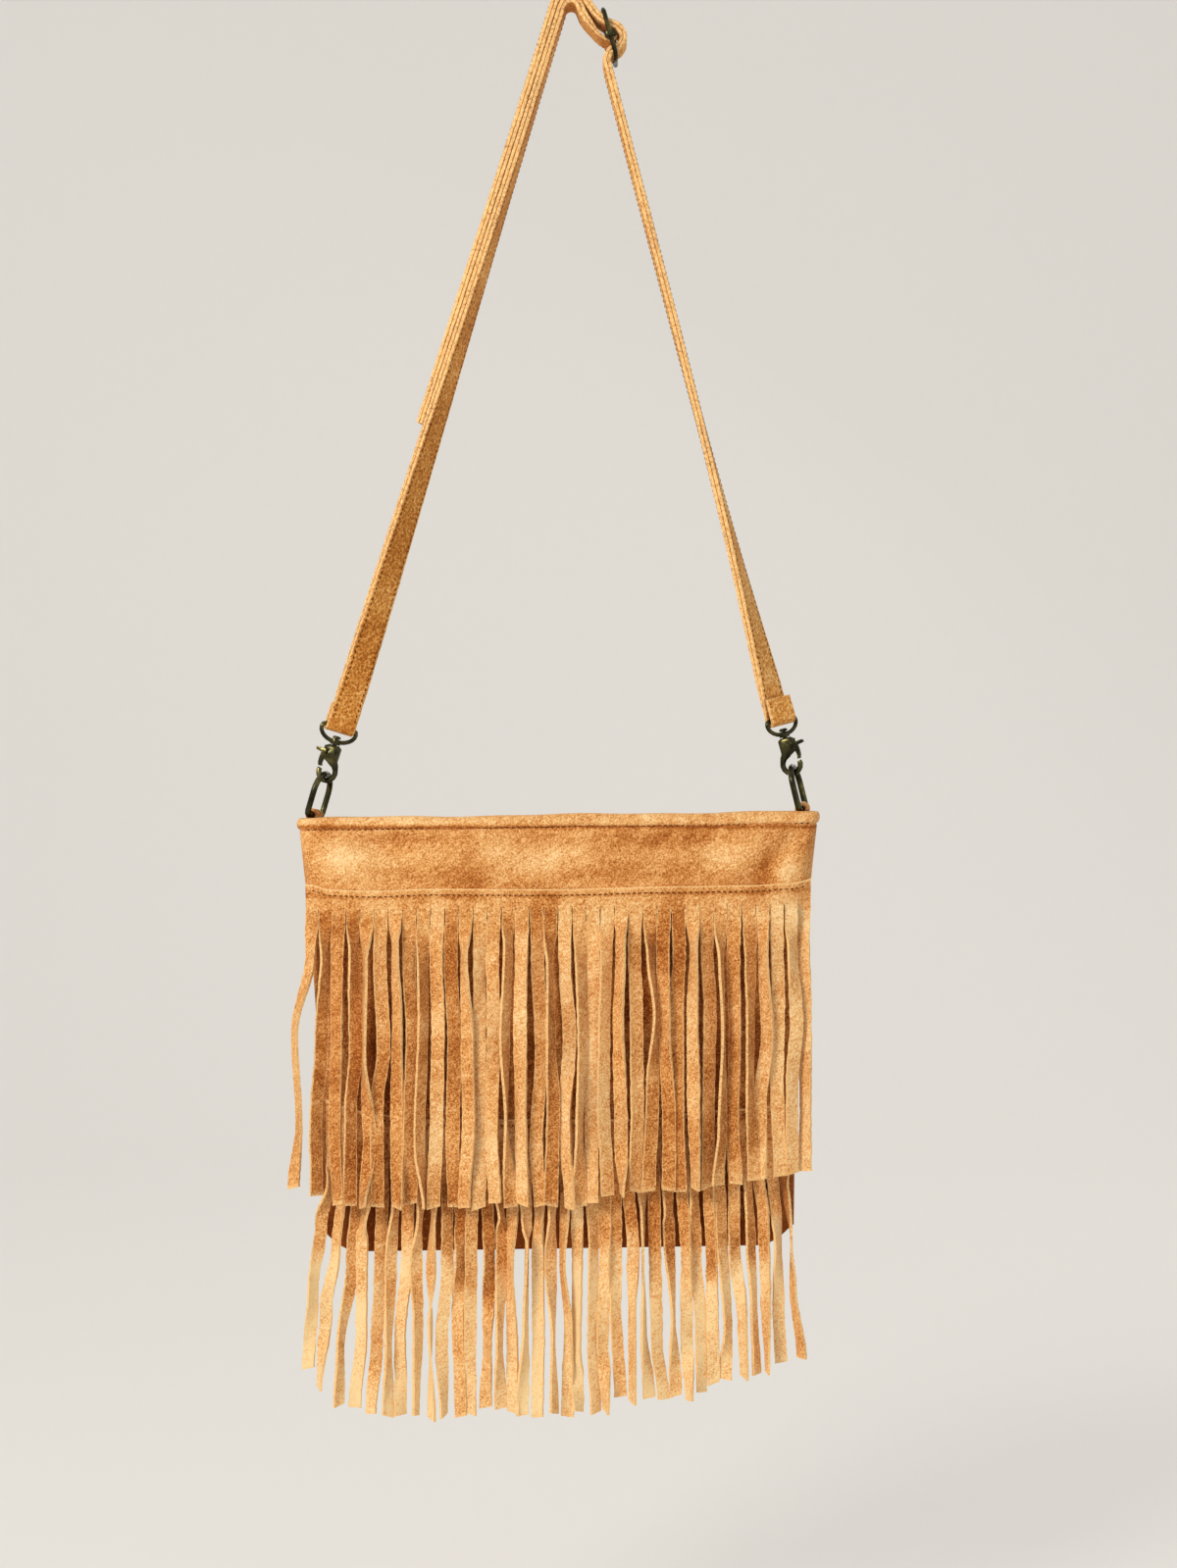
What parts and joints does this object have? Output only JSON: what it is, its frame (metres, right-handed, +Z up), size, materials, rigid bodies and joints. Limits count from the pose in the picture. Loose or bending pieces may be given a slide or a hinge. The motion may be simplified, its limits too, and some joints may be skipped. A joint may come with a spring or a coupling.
{
  "type": "fringed suede bag",
  "caption": "Flat suede shoulder bag with two tiers of long cut fringe on its front, clipped by swivel clasps to an adjustable suede strap that it hangs from.",
  "frame": {"origin": "where the strap hangs, on the underside of its crest, in the middle of the strap's width", "axes": "+Z up along the hanging bag, -Y towards the fringed front, +X to the right seen from the front"},
  "size_m": [0.2618, 0.0447, 0.7161],
  "materials": {
    "tan_suede": "tan suede with a short nap, mottled light and dark",
    "strap_suede": "tan suede strap, smooth nap, paler raw edges",
    "antique_brass": "darkened olive brass, polished on its high spots",
    "lining_cloth": "plain brown woven lining",
    "zip_tape": "brown woven zip tape"
  },
  "bodies": {
    "strap": {"strap_left": "strap_suede", "strap_right": "strap_suede", "strap_slide": "antique_brass", "clasp_eye_left": "antique_brass", "clasp_eye_right": "antique_brass"},
    "hook_left": {"clasp_hook_left": "antique_brass", "trigger_pin_left": "antique_brass"},
    "hook_right": {"clasp_hook_right": "antique_brass", "trigger_pin_right": "antique_brass"},
    "trigger_left": {"clasp_trigger_left": "antique_brass"},
    "trigger_right": {"clasp_trigger_right": "antique_brass"},
    "bag": {"front_panel": "tan_suede", "back_panel": "tan_suede", "lining": "lining_cloth", "fringe_upper": "tan_suede", "fringe_lower": "tan_suede", "zip_tape_front": "zip_tape", "zip_tape_back": "zip_tape", "zip_teeth_front": "antique_brass", "zip_teeth_back": "antique_brass", "zip_stop_left": "antique_brass", "zip_stop_right": "antique_brass", "d_ring_left": "antique_brass", "d_ring_right": "antique_brass", "ring_tab_left": "tan_suede", "ring_tab_right": "tan_suede"},
    "slider": {"zip_slider": "antique_brass"},
    "puller": {"zip_puller": "antique_brass"}
  },
  "joints": [
    {"name": "bag_swing", "type": "hinge", "parent": "strap", "child": "bag", "pos_m": [-0.12447, 0, -0.39014], "axis": [0.9999, 0, 0.0153], "range_deg": [-25, 25]},
    {"name": "hook_left_swivel", "type": "hinge", "parent": "strap", "child": "hook_left", "pos_m": [-0.11663, 0, -0.36316], "axis": [0.279, 0, 0.9603], "range_deg": [-10, 22]},
    {"name": "hook_right_swivel", "type": "hinge", "parent": "strap", "child": "hook_right", "pos_m": [0.10571, 0, -0.35923], "axis": [-0.2385, 0, 0.9711], "range_deg": [-10, 22]},
    {"name": "trigger_left_press", "type": "hinge", "parent": "hook_left", "child": "trigger_left", "pos_m": [-0.12324, 0.00085, -0.37561], "axis": [-0.2705, -0.9595, 0.0786], "range_deg": [0, 26], "stiffness_Nm_per_rad": 0.002, "springref_deg": -14.9},
    {"name": "trigger_right_press", "type": "hinge", "parent": "hook_right", "child": "trigger_right", "pos_m": [0.11179, -0.00085, -0.37195], "axis": [0.2764, 0.9586, 0.0679], "range_deg": [0, 26], "stiffness_Nm_per_rad": 0.002, "springref_deg": -14.9},
    {"name": "zip_slide", "type": "slide", "parent": "bag", "child": "slider", "axis": [-0.9999, 0, -0.0139], "range_m": [0, 0.188]},
    {"name": "puller_flip", "type": "hinge", "parent": "slider", "child": "puller", "pos_m": [0.08901, 0, -0.41192], "axis": [0, 1, 0], "range_deg": [0, 145]}
  ]
}
